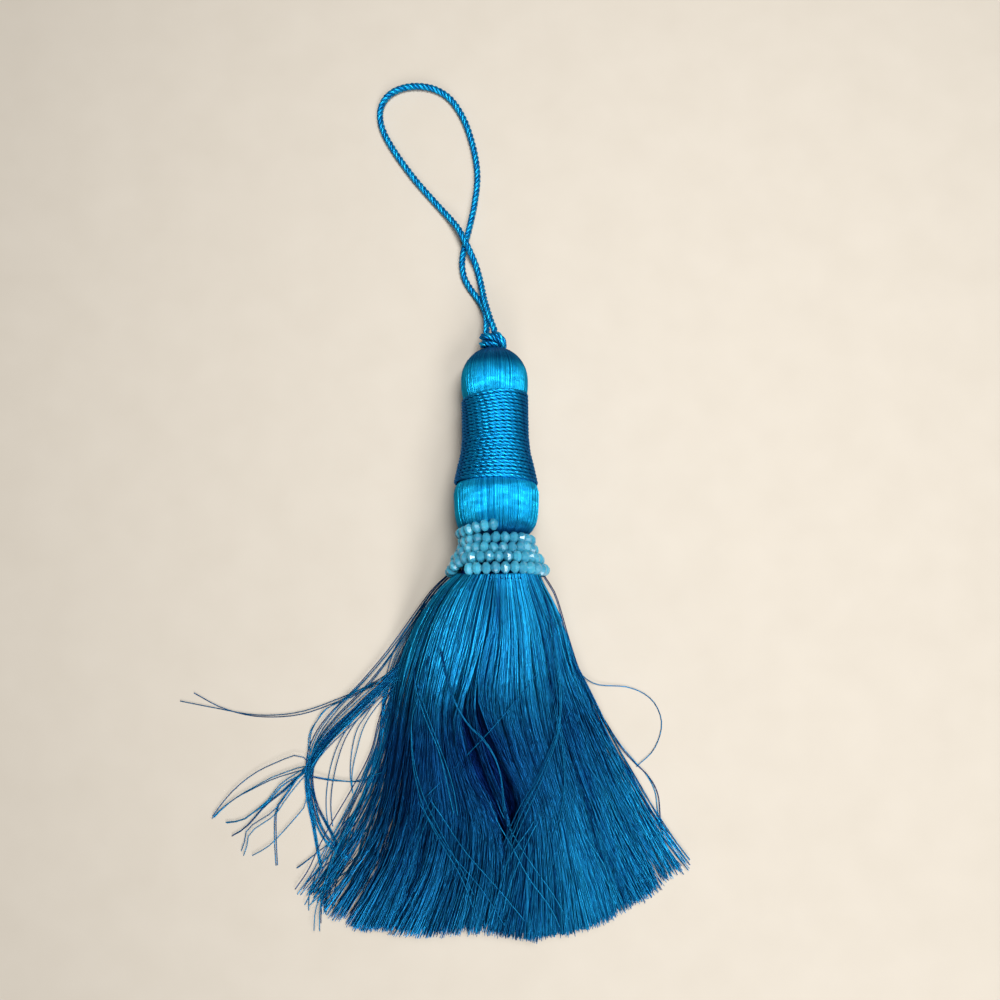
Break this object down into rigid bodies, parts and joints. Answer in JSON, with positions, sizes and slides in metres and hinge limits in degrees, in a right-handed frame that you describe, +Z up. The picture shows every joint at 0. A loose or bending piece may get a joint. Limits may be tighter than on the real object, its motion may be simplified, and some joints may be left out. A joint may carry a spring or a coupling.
{
  "type": "tassel",
  "caption": "Turquoise yarn tassel lying flat, with a hanging loop of twisted cord, a knotted top, a wound neck, a flared collar of faceted beads and a spread skirt of cut yarn.",
  "frame": {"origin": "middle of the small flat under the head's dome, on the surface that the tassel lies on", "axes": "+Y along the tassel towards the hanging loop, +X to the right seen from above with the loop at the top, +Z up from the surface"},
  "size_m": [0.1775, 0.3075, 0.0352],
  "materials": {
    "head_yarn": "satin yarn laid lengthwise",
    "band_cord": "fine two-ply cord wound in close rows",
    "bead_glass": "cloudy faceted glass with bright glints",
    "skirt_yarn": "silky cut yarn",
    "loop_cord": "twisted three-ply cord"
  },
  "bodies": {
    "root": {"head": "head_yarn", "wound_band": "band_cord", "bead_row_1": "bead_glass", "bead_row_2": "bead_glass", "bead_row_3": "bead_glass", "bead_row_4": "bead_glass", "bead_row_5": "bead_glass", "skirt": "skirt_yarn", "loop_knot": "loop_cord", "hanging_loop": "loop_cord"}
  },
  "joints": []
}
